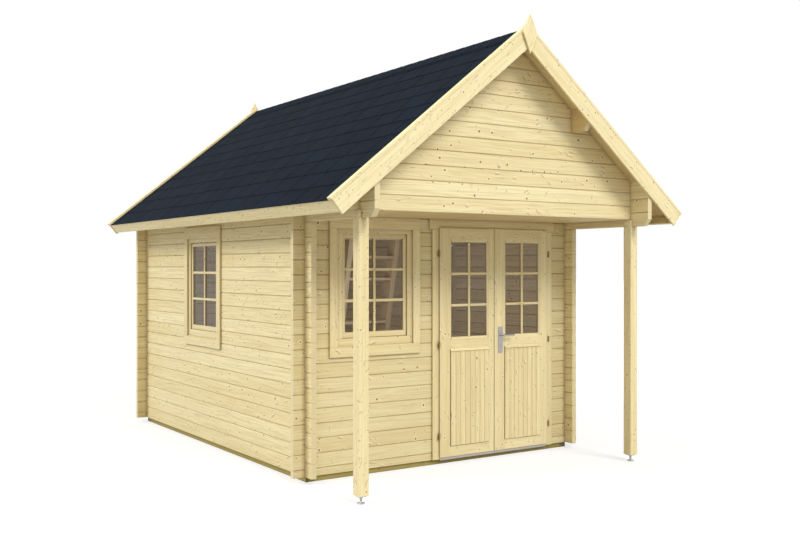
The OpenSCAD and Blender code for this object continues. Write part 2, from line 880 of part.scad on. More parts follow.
module right_door() {
    color(spruce) in_frame() difference() {
        at_right_leaf() leaf(active_leaf_w, active_stile);
        translate([lever_x, leaf_front - through, lever_z])
            rotate([-90, 0, 0])
                cylinder(d = neck_d + 2 * spindle_clear, h = leaf_t + 2 * through);
    }
}

module right_door_panes() color(glazing) in_frame() at_right_leaf() leaf_pane(active_leaf_w, active_stile);

// A plate on each face of the leaf, with the lever's bore and a keyhole
module handle_plate(y0) {
    difference() {
        box([lever_x - plate_w / 2, y0, plate_low],
            [lever_x + plate_w / 2, y0 + plate_t, plate_low + plate_h]);
        translate([lever_x, y0 - through, lever_z])
            rotate([-90, 0, 0]) cylinder(d = neck_d + 2 * neck_clear, h = plate_t + 2 * through);
        translate([lever_x, y0 - through, plate_low + keyhole_up])
            rotate([-90, 0, 0]) cylinder(d = keyhole_d, h = plate_t + 2 * through);
        box([lever_x - keyhole_slot_w / 2, y0 - through, plate_low + keyhole_up - keyhole_slot_h],
            [lever_x + keyhole_slot_w / 2, y0 + plate_t + through, plate_low + keyhole_up]);
    }
}

module handle_plates() {
    color(satin_steel) in_frame() {
        handle_plate(leaf_front - plate_t - seat);
        handle_plate(leaf_rear + seat);
    }
}

// Both levers on one spindle through the leaf
module lever_handle() {
    outer = leaf_front - lever_out;
    inner = leaf_rear + lever_out;
    color(satin_steel) in_frame() translate([lever_x, 0, lever_z]) {
        translate([0, outer, 0]) rotate([-90, 0, 0]) cylinder(d = neck_d, h = inner - outer);
        for (y = [outer, inner])
            translate([0, y, 0]) {
                sphere(d = neck_d);
                rotate([0, 90, 0]) cylinder(d = lever_d, h = lever_l - lever_d);
                translate([lever_l - lever_d, 0, 0]) sphere(d = lever_d);
            }
    }
}

foundation_beams();
floor_boards();
left_wall();
right_wall();
back_wall();
front_wall_left();
front_wall_right();
front_wall_over_door();
left_plate_logs();
right_plate_logs();
porch_gable();
back_gable();
ridge_purlin();
side_purlins();
left_roof_boards();
right_roof_boards();
left_shingles();
right_shingles();
eave_fascias();
bargeboards();
cap_laths();
finials();
porch_posts();
post_feet();
loft_floor();
loft_beam();
ladder_rails();
ladder_treads();
window_trims();
window_frames();
window_sashes();
window_panes();
door_frame();
door_trim();
threshold();
frame_hinges();
left_door();
left_door_panes();
left_door_hinges();
right_door();
right_door_panes();
right_door_hinges();
handle_plates();
lever_handle();
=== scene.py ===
# Garden cabin of planed interlocking logs: finishes, boards, shingles, glazing bars and fittings
import bpy
import bmesh
import json
import math
import random
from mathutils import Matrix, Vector

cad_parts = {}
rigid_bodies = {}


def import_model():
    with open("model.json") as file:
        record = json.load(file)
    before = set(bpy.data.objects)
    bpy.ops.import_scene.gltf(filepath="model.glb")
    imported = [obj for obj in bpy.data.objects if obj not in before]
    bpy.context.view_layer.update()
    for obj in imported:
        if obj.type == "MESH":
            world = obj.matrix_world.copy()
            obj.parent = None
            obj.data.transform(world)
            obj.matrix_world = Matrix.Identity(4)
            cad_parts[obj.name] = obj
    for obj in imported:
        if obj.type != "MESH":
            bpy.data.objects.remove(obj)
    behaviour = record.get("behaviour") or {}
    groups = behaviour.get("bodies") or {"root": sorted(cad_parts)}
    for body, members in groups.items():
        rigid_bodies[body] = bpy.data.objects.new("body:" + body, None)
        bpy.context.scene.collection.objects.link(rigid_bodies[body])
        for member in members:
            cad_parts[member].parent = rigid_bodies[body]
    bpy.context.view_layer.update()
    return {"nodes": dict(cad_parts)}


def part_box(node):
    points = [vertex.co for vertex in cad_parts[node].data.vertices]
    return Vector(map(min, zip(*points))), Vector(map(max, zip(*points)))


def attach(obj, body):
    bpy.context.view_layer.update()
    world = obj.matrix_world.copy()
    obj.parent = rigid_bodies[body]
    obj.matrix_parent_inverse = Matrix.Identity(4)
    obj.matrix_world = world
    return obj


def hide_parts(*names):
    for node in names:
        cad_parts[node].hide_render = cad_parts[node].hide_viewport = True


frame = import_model()
cadNodes = frame["nodes"]
sceneObjects = bpy.context.scene.collection.objects
draw = random.Random(41)
print("frame loaded")


# nodes and colours
def toLinear(hexText):  # sRGB hex to the linear values that the shaders take
    channels = [int(hexText[i:i + 2], 16) / 255 for i in (0, 2, 4)]
    return [c / 12.92 if c <= 0.04045 else ((c + 0.055) / 1.055) ** 2.4 for c in channels] + [1.0]


def addNode(tree, kind, settings=None, links=None):  # one node with its settings and links
    node = tree.nodes.new("ShaderNode" + kind)
    for key, value in (settings or {}).items():
        if isinstance(key, str) and hasattr(node, key):
            setattr(node, key, value)
        else:
            node.inputs[key].default_value = value
    for key, source in (links or {}).items():
        tree.links.new(source.outputs[0] if hasattr(source, "outputs") else source, node.inputs[key])
    return node


def newMaterial(name):
    material = bpy.data.materials.new(name)
    material.use_nodes = True
    material.node_tree.nodes.clear()
    return material, material.node_tree


def endMaterial(tree, shader):
    addNode(tree, "OutputMaterial", {}, {"Surface": shader})


# wood: colours of summer wood, knots and end grain, and how often knots come
spruce = {
    "pale": "F5E7B6", "deep": "E6D39B", "line": "C8AD74", "knot": "6C3D16", "ring": "C39550",
    "halo": "FFF8D4", "stroke": "AD8446", "jointShade": "856B3D", "end": "EEDFAE", "endLine": "DDCA98",
    "roughness": 0.58, "knotEvery": 0.13, "knotShare": 0.5, "knotSmall": 0.02, "knotLarge": 0.055,
    "strokeShare": 0.2, "lineContrast": 0.62, "bump": 0.25, "nook": "6B4A1E", "nookReach": 0.035,
    "nookShade": 0.45}
lining = dict(spruce, pale="E6D19A", deep="D8BF84", line="BC9A5E", knotShare=0.35)
boards = dict(spruce, pale="FAECBB", deep="EBD8A0", knotEvery=0.1, knotShare=0.7, strokeShare=0.35,
              lineContrast=0.52, nookShade=0.55)
porchShadedLogs = dict(spruce, pale="E7D9A9", deep="D8C58F")  # logs under the porch: the log colours made darker, as painted shade of the porch roof
joinery = dict(spruce, pale="F1E2B0", deep="E2CE98", knotEvery=0.11, lineContrast=0.55, nookShade=0.55)
impregnated = dict(spruce, pale="BEAC62", deep="A4934E", line="82723D", knot="4A3A1C", halo="B5A45E",
                   stroke="7A6A38", end="978750", endLine="75663A", roughness=0.75, knotShare=0.3)
# how every piece grew: cells to a metre along, across and through it, and lengths in metres
growth = {"streaks": (1.5, 95.0, 95.0), "bands": (0.6, 16.0, 16.0), "bend": 0.02, "wander": 0.05,
          "spread": 23.0, "ownTone": 0.6, "heart": (0.0, 0.012, 0.03), "ringApart": 0.006, "ringWaver": 0.01}
# strokes beside small branches: a brown one, and a pale one just off it
strokes = {"net": (12.0, 33.0, 12.0), "sway": (0.1, 0.06, 0.0), "small": 0.14, "large": 0.5, "lean": 1.3,
           "apart": (0.004, 0.007, 0.0), "brown": 0.9, "pale": 0.6}


# short slanting strokes where small branches were; most cells of the net stay empty
def addStrokes(tree, grain, lean, share, strength):
    sway = addNode(tree, "TexNoise", {"Scale": 14.0, "Detail": 2.0}, {"Vector": grain})
    sway = addNode(tree, "VectorMath", {"operation": "MULTIPLY_ADD", 1: strokes["sway"]},
                   {0: sway.outputs["Color"], 2: grain})
    turned = addNode(tree, "VectorRotate", {"rotation_type": "Z_AXIS"}, {"Vector": sway, "Angle": lean})
    drawn = addNode(tree, "VectorMath", {"operation": "MULTIPLY", 1: strokes["net"]}, {0: turned})
    cells = addNode(tree, "TexVoronoi", {"voronoi_dimensions": "2D", "Scale": 1.0}, {"Vector": drawn})
    pick = addNode(tree, "SeparateColor", {}, {0: cells.outputs["Color"]})
    kept = addNode(tree, "Math", {"operation": "LESS_THAN", 1: share}, {0: pick.outputs[0]})
    size = addNode(tree, "MapRange", {"To Min": strokes["small"], "To Max": strokes["large"]},
                   {"Value": pick.outputs[1]})
    reach = addNode(tree, "Math", {"operation": "DIVIDE"}, {0: cells.outputs["Distance"], 1: size})
    spot = addNode(tree, "MapRange", {"interpolation_type": "SMOOTHSTEP", "From Min": 1.0, "From Max": 0.2},
                   {"Value": reach})
    spot = addNode(tree, "Math", {"operation": "MULTIPLY"}, {0: spot, 1: pick.outputs[2]})
    spot = addNode(tree, "Math", {"operation": "MULTIPLY"}, {0: spot, 1: kept})
    return addNode(tree, "Math", {"operation": "MULTIPLY", 1: strength}, {0: spot})


# where a point of a CAD log lies: the logs are told apart by cells in the frame
def findLog(tree, place):
    coords = addNode(tree, "TexCoord")
    facing = addNode(tree, "SeparateXYZ", {}, {0: coords.outputs["Normal"]})
    parts = addNode(tree, "SeparateXYZ", {}, {0: coords.outputs["Object"]})
    order = ["XYZ".index(a) for a in place["axes"]]  # along, across and through the log
    spot = addNode(tree, "CombineXYZ", {}, {i: parts.outputs[a] for i, a in enumerate(order)})
    offset = addNode(tree, "VectorMath", {"operation": "SUBTRACT", 1: place["start"]}, {0: spot})
    cells = addNode(tree, "VectorMath", {"operation": "DIVIDE", 1: place["cell"]}, {0: offset})
    index = addNode(tree, "VectorMath", {"operation": "FLOOR"}, {0: cells})
    share = addNode(tree, "VectorMath", {"operation": "FRACTION"}, {0: cells})
    middle = addNode(tree, "VectorMath", {"operation": "SUBTRACT", 1: (0.5, 0.5, 0.5)}, {0: share})
    local = addNode(tree, "VectorMath", {"operation": "MULTIPLY", 1: place["cell"]}, {0: middle})
    chance = addNode(tree, "TexWhiteNoise", {"noise_dimensions": "4D", "W": place["seed"] + 0.5},
                     {"Vector": index})
    size = addNode(tree, "Math", {"operation": "ABSOLUTE"}, {0: facing.outputs[order[0]]})
    isEnd = addNode(tree, "Math", {"operation": "GREATER_THAN", 1: 0.6}, {0: size})
    return local, chance, isEnd, share


# a made piece carries its own grain and tone
def findBoard(tree):
    local = addNode(tree, "Attribute", {"attribute_name": "grain"}).outputs["Vector"]
    tone = addNode(tree, "Attribute", {"attribute_name": "tone"}).outputs["Fac"]
    wide = addNode(tree, "Math", {"operation": "MULTIPLY", 1: 997.0}, {0: tone})
    chance = addNode(tree, "TexWhiteNoise", {"noise_dimensions": "1D"}, {"W": wide})
    isEnd = addNode(tree, "Attribute", {"attribute_name": "endGrain"}).outputs["Fac"]
    return local, chance, isEnd


# knots: one in each cell of a scattered net, some left out, of 2 to 7 mm radius; each has a dark core, a
# brown ring and a pale halo, whose edges are given in the knot's own radii
def addKnots(tree, flat, look):
    net = addNode(tree, "VectorMath", {"operation": "SCALE", "Scale": 1 / look["knotEvery"]}, {0: flat})
    knots = addNode(tree, "TexVoronoi", {"voronoi_dimensions": "2D", "Scale": 1.0, "Randomness": 0.95},
                    {"Vector": net})
    pick = addNode(tree, "SeparateColor", {}, {0: knots.outputs["Color"]})
    kept = addNode(tree, "Math", {"operation": "LESS_THAN", 1: look["knotShare"]}, {0: pick.outputs[0]})
    radius = addNode(tree, "MapRange", {"To Min": look["knotSmall"], "To Max": look["knotLarge"]},
                     {"Value": pick.outputs[1]})
    reach = addNode(tree, "Math", {"operation": "DIVIDE"}, {0: knots.outputs["Distance"], 1: radius})
    rounds = []
    for outer, inner, strength in ((1.1, 0.75, 1.0), (1.9, 1.0, 0.85), (3.6, 1.2, 1.0)):
        spot = addNode(tree, "MapRange", {"interpolation_type": "SMOOTHSTEP", "From Min": outer,
                                          "From Max": inner, "To Max": strength}, {"Value": reach})
        rounds.append(addNode(tree, "Math", {"operation": "MULTIPLY"}, {0: spot, 1: kept}))
    core, ring, halo = rounds
    depth = addNode(tree, "MapRange", {"To Min": 0.6, "To Max": 1.0}, {"Value": pick.outputs[2]})
    core = addNode(tree, "Math", {"operation": "MULTIPLY"}, {0: core, 1: depth})
    return core, ring, halo


# growth lines: long streaks 4 to 14 mm apart and broader bands, which part round the knots
def addGrowth(tree, grain, halo):
    bend = addNode(tree, "Math", {"operation": "MULTIPLY", 1: growth["bend"]}, {0: halo})
    bent = addNode(tree, "CombineXYZ", {}, {1: bend, 2: bend})
    wander = addNode(tree, "TexNoise", {"Scale": 1.3, "Detail": 1.0}, {"Vector": grain})
    wander = addNode(tree, "VectorMath", {"operation": "SCALE", "Scale": growth["wander"]},
                     {0: wander.outputs["Color"]})
    course = addNode(tree, "VectorMath", {"operation": "ADD"}, {0: grain, 1: bent})
    course = addNode(tree, "VectorMath", {"operation": "ADD"}, {0: course, 1: wander})
    fine = addNode(tree, "VectorMath", {"operation": "MULTIPLY", 1: growth["streaks"]}, {0: course})
    streaks = addNode(tree, "TexNoise", {"Scale": 1.0, "Detail": 5.0, "Roughness": 0.62}, {"Vector": fine})
    broad = addNode(tree, "VectorMath", {"operation": "MULTIPLY", 1: growth["bands"]}, {0: course})
    bands = addNode(tree, "TexNoise", {"Scale": 1.0, "Detail": 3.0}, {"Vector": broad})
    return streaks, bands


# end grain: rings about the heart, which lies just off the middle of the piece
def addRings(tree, local, grain, look):
    ringAt = addNode(tree, "VectorMath", {"operation": "MULTIPLY", 1: (0.0, 1.0, 1.0)}, {0: local})
    ringAt = addNode(tree, "VectorMath", {"operation": "ADD", 1: growth["heart"]}, {0: ringAt})
    away = addNode(tree, "VectorMath", {"operation": "LENGTH"}, {0: ringAt}).outputs["Value"]
    uneven = addNode(tree, "TexNoise", {"Scale": 30.0}, {"Vector": grain})
    away = addNode(tree, "Math", {"operation": "MULTIPLY_ADD", 1: growth["ringWaver"]}, {0: uneven, 2: away})
    rings = addNode(tree, "Math", {"operation": "MULTIPLY", 1: 1 / growth["ringApart"]}, {0: away})
    rings = addNode(tree, "Math", {"operation": "FRACT"}, {0: rings})
    return addNode(tree, "MixRGB", {"Color1": toLinear(look["end"]), "Color2": toLinear(look["endLine"])},
                   {0: rings})


# planed softwood: the eye gets long growth lines that part round knots, a tone of its own for every log
# or board, slanting strokes beside small branches, and rings on the sawn ends. A piece with no place
# takes its grain from its own attributes.
def buildWood(name, look, place=None):
    material, tree = newMaterial(name)
    if place:
        local, chance, isEnd, share = findLog(tree, place)
    else:
        local, chance, isEnd = findBoard(tree)
    shift = addNode(tree, "VectorMath", {"operation": "SCALE", "Scale": growth["spread"]},
                    {0: chance.outputs["Color"]})
    grain = addNode(tree, "VectorMath", {"operation": "ADD"}, {0: local, 1: shift})
    # spots lie on whichever side of the piece is seen, so width and depth are added up
    depth = addNode(tree, "SeparateXYZ", {}, {0: grain}).outputs["Z"]
    depth = addNode(tree, "CombineXYZ", {}, {1: depth})
    flat = addNode(tree, "VectorMath", {"operation": "ADD"}, {0: grain, 1: depth})
    core, ring, halo = addKnots(tree, flat, look)
    streaks, bands = addGrowth(tree, grain, halo)
    # colour: each log or board has its own tone, under the lines and the pale haloes
    mixed = addNode(tree, "MapRange", {"From Min": 0.3, "From Max": 0.7, "To Min": -0.15, "To Max": 0.4},
                    {"Value": bands})
    own = addNode(tree, "Math", {"operation": "MULTIPLY_ADD", 1: growth["ownTone"]},
                  {0: chance.outputs["Value"], 2: mixed})
    colour = addNode(tree, "MixRGB", {"Color1": toLinear(look["pale"]), "Color2": toLinear(look["deep"])},
                     {0: own})
    lines = addNode(tree, "MapRange", {"From Min": 0.44, "From Max": 0.72, "To Max": look["lineContrast"]},
                    {"Value": streaks})
    feather = addNode(tree, "MapRange", {"From Min": 0.35, "From Max": 0.65, "To Max": 0.8}, {"Value": bands})
    glow = addNode(tree, "Math", {"operation": "MULTIPLY"}, {0: halo, 1: feather})
    lean = addNode(tree, "MapRange", {"To Min": -strokes["lean"], "To Max": strokes["lean"]},
                   {"Value": chance.outputs["Value"]})
    beside = addNode(tree, "VectorMath", {"operation": "ADD", 1: strokes["apart"]}, {0: flat})
    brown = addStrokes(tree, beside, lean, look["strokeShare"], strokes["brown"])
    pale = addStrokes(tree, flat, lean, look["strokeShare"], strokes["pale"])
    for key, amount in (("line", lines), ("halo", glow), ("stroke", brown), ("halo", pale), ("ring", ring),
                        ("knot", core)):
        colour = addNode(tree, "MixRGB", {"Color2": toLinear(look[key])}, {0: amount, 1: colour})
    sawn = addRings(tree, local, grain, look)
    colour = addNode(tree, "MixRGB", {}, {0: isEnd, 1: colour, 2: sawn})
    if place:  # where two logs meet: the real thin gap between them, darkened in the colour as painted shade of the gap
        height = addNode(tree, "SeparateXYZ", {}, {0: share}).outputs["Y"]
        apart = addNode(tree, "Math", {"operation": "PINGPONG", 1: 0.5}, {0: height})
        jointShade = addNode(tree, "MapRange", {"interpolation_type": "SMOOTHSTEP", "To Min": 0.5,
                                           "To Max": 0.0, "From Max": place["joint"] / place["cell"][1]},
                        {"Value": apart})
        colour = addNode(tree, "MixRGB", {"Color2": toLinear(look["jointShade"])}, {0: jointShade, 1: colour})
    # painted shade: the corners where boards meet are painted a little darker in the colour, as light hardly
    # gets in
    nook = addNode(tree, "AmbientOcclusion", {"samples": 4, "Distance": look["nookReach"]})
    nook = addNode(tree, "MapRange", {"To Min": look["nookShade"], "To Max": 0.0},
                   {"Value": nook.outputs["AO"]})
    colour = addNode(tree, "MixRGB", {"blend_type": "MULTIPLY", "Color2": toLinear(look["nook"])},
                     {0: nook, 1: colour})
    # knots stand a hair proud and shine a little; growth lines are sunk
    height = addNode(tree, "Math", {"operation": "SUBTRACT"}, {0: core, 1: streaks})
    relief = addNode(tree, "Bump", {"Strength": look["bump"], "Distance": 0.0006}, {"Height": height})
    polish = addNode(tree, "MapRange", {"To Min": look["roughness"], "To Max": look["roughness"] - 0.12},
                     {"Value": core})
    shader = addNode(tree, "BsdfPrincipled", {"IOR": 1.45}, {"Base Color": colour, "Roughness": polish,
                                                            "Normal": relief})
    endMaterial(tree, shader)
    return material


# metal: fine brushed or drawn lines stretch along the piece and break up its shine; even scales give the
# cloudy look of zinc or lacquer. Scales are lines to a metre; real brushing is finer and wouldn't show.
def buildMetal(name, look):
    material, tree = newMaterial(name)
    coords = addNode(tree, "TexCoord").outputs["Object"]
    stretched = addNode(tree, "VectorMath", {"operation": "MULTIPLY", 1: look["stretch"]}, {0: coords})
    lines = addNode(tree, "TexNoise", {"Scale": 1.0, "Detail": 4.0}, {"Vector": stretched})
    colour = addNode(tree, "MixRGB", {"Color1": toLinear(look["dark"]), "Color2": toLinear(look["light"])},
                     {0: lines})
    sheen = addNode(tree, "MapRange", {"To Min": look["roughness"] - 0.08,
                                       "To Max": look["roughness"] + 0.08}, {"Value": lines})
    relief = addNode(tree, "Bump", {"Strength": 0.2, "Distance": 0.0002}, {"Height": lines})
    shader = addNode(tree, "BsdfPrincipled", {"Metallic": look["metallic"]},
                     {"Base Color": colour, "Roughness": sheen, "Normal": relief})
    endMaterial(tree, shader)
    return material


# mineral granules pressed into bitumen: matt, finely speckled, and each tab a shade lighter or darker.
# The granules are drawn at 4 mm, about twice their size, so that they show.
def buildShingle(name, look):
    material, tree = newMaterial(name)
    coords = addNode(tree, "TexCoord").outputs["Object"]
    tone = addNode(tree, "Attribute", {"attribute_name": "tone"}).outputs["Fac"]
    grit = addNode(tree, "TexVoronoi", {"Scale": 1 / look["granule"]}, {"Vector": coords})
    cloud = addNode(tree, "TexNoise", {"Scale": 3.0, "Detail": 3.0}, {"Vector": coords})
    speck = addNode(tree, "SeparateColor", {}, {0: grit.outputs["Color"]})
    own = addNode(tree, "Math", {"operation": "MULTIPLY_ADD", 1: 0.45}, {0: tone, 2: cloud})
    own = addNode(tree, "Math", {"operation": "SUBTRACT", 1: 0.22}, {0: own})
    base = addNode(tree, "MixRGB", {"Color1": toLinear(look["dark"]), "Color2": toLinear(look["light"])},
                   {0: own})
    few = addNode(tree, "MapRange", {"From Min": 0.55, "From Max": 1.0, "To Max": 0.45},
                  {"Value": speck.outputs[0]})
    colour = addNode(tree, "MixRGB", {"Color2": toLinear(look["speck"])}, {0: few, 1: base})
    relief = addNode(tree, "Bump", {"Strength": 0.6, "Distance": 0.001},
                     {"Height": grit.outputs["Distance"]})
    shader = addNode(tree, "BsdfPrincipled", {"Roughness": 0.95, "Specular IOR Level": 0.08},
                     {"Base Color": colour, "Normal": relief})
    endMaterial(tree, shader)
    return material


# clear float glass: waves 400 mm long bend what lies behind it, and a thin film of dust greys it here and
# there. Daylight and shadow pass straight through.
def buildGlass(name, look):
    material, tree = newMaterial(name)
    coords = addNode(tree, "TexCoord").outputs["Object"]
    waves = addNode(tree, "TexNoise", {"Scale": 2.5, "Detail": 1.0}, {"Vector": coords})
    relief = addNode(tree, "Bump", {"Strength": 0.05, "Distance": 0.001}, {"Height": waves})
    film = addNode(tree, "TexNoise", {"Scale": 9.0, "Detail": 3.0}, {"Vector": coords})
    colour = addNode(tree, "MixRGB", {"Color1": toLinear(look["clear"]), "Color2": toLinear(look["dusty"])},
                     {0: film})
    bending = addNode(tree, "BsdfPrincipled", {"Roughness": 0.0, "IOR": 1.15, "Transmission Weight": 1.0},
                      {"Base Color": colour, "Normal": relief})
    path = addNode(tree, "LightPath")
    passing = addNode(tree, "Math", {"operation": "MAXIMUM"}, {0: path.outputs["Is Shadow Ray"],
                                                               1: path.outputs["Is Diffuse Ray"]})
    clear = addNode(tree, "BsdfTransparent", {"Color": toLinear(look["clear"])})
    shader = addNode(tree, "MixShader", {}, {0: passing, 1: bending, 2: clear})
    endMaterial(tree, shader)
    return material


# levels and slope, read from the frame
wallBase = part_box("left_wall")[0].z
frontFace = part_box("front_wall_left")[0].y
slopeCorners = [v.co for v in cadNodes["right_roof_boards"].data.vertices]
ridgeTop = max(slopeCorners, key=lambda p: p.z)
eaveTop = max(slopeCorners, key=lambda p: p.x)
pitch = math.atan2(ridgeTop.z - eaveTop.z, eaveTop.x - ridgeTop.x)

# logs: the height of a course, half the dark line of a joint, half a cell that is longer than any log,
# and the nodes with the way their logs run
logs = {"height": 0.114, "joint": 0.0026, "halfCell": 50.0,
        "nodes": {"left_wall": "Y", "right_wall": "Y", "back_wall": "X", "front_wall_left": "X",
                  "front_wall_right": "X", "front_wall_over_door": "X", "left_plate_logs": "Y",
                  "right_plate_logs": "Y", "porch_gable": "X", "back_gable": "X"}}


def wear(node, material):  # a CAD node in its real material
    cadNodes[node].data.materials.clear()
    cadNodes[node].data.materials.append(material)


# planed logs with the thin dark line of each joint, whose shade is painted in; walls that cross are half a
# course apart
for seed, (node, way) in enumerate(logs["nodes"].items()):
    start = wallBase - (logs["height"] / 2 if way == "X" else 0)
    place = {"axes": {"X": "XZY", "Y": "YZX"}[way], "start": (-logs["halfCell"], start, -logs["halfCell"]),
             "cell": (2 * logs["halfCell"], logs["height"], 2 * logs["halfCell"]), "seed": seed,
             "joint": logs["joint"]}
    # the front walls under the porch take the darker colours, which paint in the porch's shade
    look = porchShadedLogs if node.startswith("front") else spruce
    wear(node, buildWood("Spruce log, planed " + node.replace("_", " "), look, place))

# planed boards: brighter than the logs, and full of small knots
boardWood = buildWood("Spruce board, planed", boards)
# lining boards: deeper and warmer, as wood is that the sun does not reach
liningWood = buildWood("Spruce lining board, planed", lining)
# windows and doors: even, fine planed wood with quiet growth lines
joineryWood = buildWood("Spruce joinery, fine planed", joinery)
# sleepers under the walls: green brown from the salts, and rough sawn
beamWood = buildWood("Pine, pressure impregnated", impregnated)
# handle: lines brushed along it draw the highlight out
satinSteel = buildMetal("Stainless steel, satin brushed", {
    "light": "BDBBBD", "dark": "A09EA1", "metallic": 1.0, "roughness": 0.34, "stretch": (900.0, 60.0, 60.0)})
# post feet: pale and cloudy from the zinc bath
zincSteel = buildMetal("Steel, zinc plated", {
    "light": "CDCECC", "dark": "ACADAB", "metallic": 1.0, "roughness": 0.45,
    "stretch": (120.0, 120.0, 120.0)})
# hinges: a smooth brown lacquer that hides the metal
brownSteel = buildMetal("Steel, brown lacquered", {
    "light": "9A7A45", "dark": "7D6136", "metallic": 0.0, "roughness": 0.38,
    "stretch": (400.0, 400.0, 400.0)})
# threshold: drawn lines run its whole length
aluminium = buildMetal("Aluminium, extruded", {
    "light": "C2BCB6", "dark": "ADA7A1", "metallic": 1.0, "roughness": 0.5, "stretch": (20.0, 900.0, 900.0)})
# roof cover: slate blue to black, dull as dry stone
shingleCover = buildShingle("Bitumen shingle, mineral granules", {
    "light": "111A25", "dark": "080F18", "speck": "27313E", "granule": 0.004})
# panes: almost clear, with a breath of grey
glass = buildGlass("Float glass, clear", {"clear": "E6E3EB", "dusty": "DAD6E0"})
print("materials made")

softEdge = 0.0015  # metres planed off the edges of boards
# metres left between neighbours: boards in one layer, the sheet under the shingles, and round a pane
fit = {"board": 0.0002, "sheet": 0.0001, "pane": 0.0003}


# shapes
def newShape():
    return {"points": [], "faces": [], "grain": [], "tone": [], "ends": []}


# a bar of one section, pushed from start to stop; put turns (along, b, c) into a place in the frame
def addBar(shape, section, start, stop, put):
    first = len(shape["points"])
    middle = (start + stop) / 2
    bs, cs = [p[0] for p in section], [p[1] for p in section]
    midB, midC = (min(bs) + max(bs)) / 2, (min(cs) + max(cs)) / 2
    flat = max(bs) - min(bs) >= max(cs) - min(cs)
    tone = draw.random()
    for along in (start, stop):
        for b, c in section:
            shape["points"].append(put(along, b, c))
            pair = (b - midB, c - midC) if flat else (c - midC, b - midB)  # the wider side first
            shape["grain"].append((along - middle, *pair))
            shape["tone"].append(tone)
    count = len(section)
    for i in range(count):
        j = (i + 1) % count
        shape["faces"].append((first + i, first + j, first + count + j, first + count + i))
        shape["ends"].append(0.0)
    shape["faces"].append(tuple(range(first, first + count)))
    shape["faces"].append(tuple(range(first + 2 * count - 1, first + count - 1, -1)))
    shape["ends"] += [1.0, 1.0]


def plank(b0, b1, c0, c1, edge):  # a rectangle with its corners taken off
    return [(b0 + edge, c0), (b1 - edge, c0), (b1, c0 + edge), (b1, c1 - edge),
            (b1 - edge, c1), (b0 + edge, c1), (b0, c1 - edge), (b0, c0 + edge)]


def alongX(a, b, c):
    return (a, b, c)


def alongY(a, b, c):
    return (b, a, c)


def alongZ(a, b, c):
    return (b, c, a)


def finishPiece(name, shape, material, body, replaced=()):
    mesh = bpy.data.meshes.new(name)
    mesh.from_pydata([tuple(p) for p in shape["points"]], [], shape["faces"])
    work = bmesh.new()
    work.from_mesh(mesh)
    bmesh.ops.recalc_face_normals(work, faces=work.faces)
    work.to_mesh(mesh)
    work.free()
    for key, kind, domain in (("grain", "FLOAT_VECTOR", "POINT"), ("tone", "FLOAT", "POINT")):
        mesh.attributes.new(key, kind, domain)
    mesh.attributes["grain"].data.foreach_set("vector", [x for g in shape["grain"] for x in g])
    mesh.attributes["tone"].data.foreach_set("value", shape["tone"])
    ends = mesh.attributes.new("endGrain", "FLOAT", "FACE")
    ends.data.foreach_set("value", shape["ends"])
    mesh.materials.append(material)
    piece = bpy.data.objects.new(name, mesh)
    sceneObjects.link(piece)
    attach(piece, body)
    if replaced:
        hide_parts(*replaced)
    return piece


def solidsOf(node):  # the separate solids of a CAD node, each as its corners and its flat faces
    work = bmesh.new()
    work.from_mesh(cadNodes[node].data)
    bmesh.ops.remove_doubles(work, verts=work.verts, dist=0.00001)
    bmesh.ops.dissolve_limit(work, angle_limit=0.01, verts=work.verts, edges=work.edges)
    work.verts.ensure_lookup_table()
    left, solids = set(work.verts), []
    for seedVert in list(work.verts):
        if seedVert not in left:
            continue
        group, queue = [], [seedVert]
        left.discard(seedVert)
        while queue:
            vert = queue.pop()
            group.append(vert)
            for edge in vert.link_edges:
                other = edge.other_vert(vert)
                if other in left:
                    left.discard(other)
                    queue.append(other)
        index = {v: i for i, v in enumerate(group)}
        faces = [tuple(index[v] for v in f.verts) for f in work.faces if f.verts[0] in index]
        solids.append(([v.co.copy() for v in group], faces))
    work.free()
    return solids


def addSolid(shape, points, faces):  # copies one solid, its grain along its longest edge
    edges = [points[f[i]] - points[f[i - 1]] for f in faces for i in range(len(f))]
    along = max(edges, key=lambda e: e.length).normalized()
    level = [e - along * e.dot(along) for e in edges]
    across = max(level, key=lambda e: e.length).normalized()
    depth = along.cross(across)
    reaches = [[p.dot(way) for p in points] for way in (across, depth)]
    if max(reaches[0]) - min(reaches[0]) < max(reaches[1]) - min(reaches[1]):
        across, depth = depth, across
    middle = sum(points, Vector()) / len(points)
    first, tone = len(shape["points"]), draw.random()
    for p in points:
        q = p - middle
        shape["points"].append(p)
        shape["grain"].append((q.dot(along), q.dot(across), q.dot(depth)))
        shape["tone"].append(tone)
    for f in faces:
        shape["faces"].append(tuple(first + i for i in f))
        a, b, c = (points[f[i]] for i in (0, 1, 2))
        normal = (b - a).cross(c - a)
        shape["ends"].append(1.0 if abs(normal.normalized().dot(along)) > 0.6 else 0.0)


def cornerOf(solid):  # the lowest corner, so that the solids always come in one order
    return min(tuple(round(x, 4) for x in p) for p in solid[0])


def windowSide(points):  # which wall a window's board belongs to
    if max(p.y for p in points) < frontFace + 0.1:
        return "front"
    return "left" if points[0].x < 0 else "right"


def standClear(solids, gap):  # draws in the outer faces of each window's boards, for a fine gap round them
    near = 0.0001  # corners this close to the outer face lie on it
    for side in ("left", "right", "front"):
        corners = [p for points, faces in solids if windowSide(points) == side for p in points]
        spans = [(min(p[i] for p in corners), max(p[i] for p in corners)) for i in range(3)]
        for axis, (low, high) in enumerate(spans):
            if high - low < 0.1:  # the way through the sash stays as it is
                continue
            for p in corners:
                p[axis] += gap if p[axis] < low + near else -gap if p[axis] > high - near else 0.0


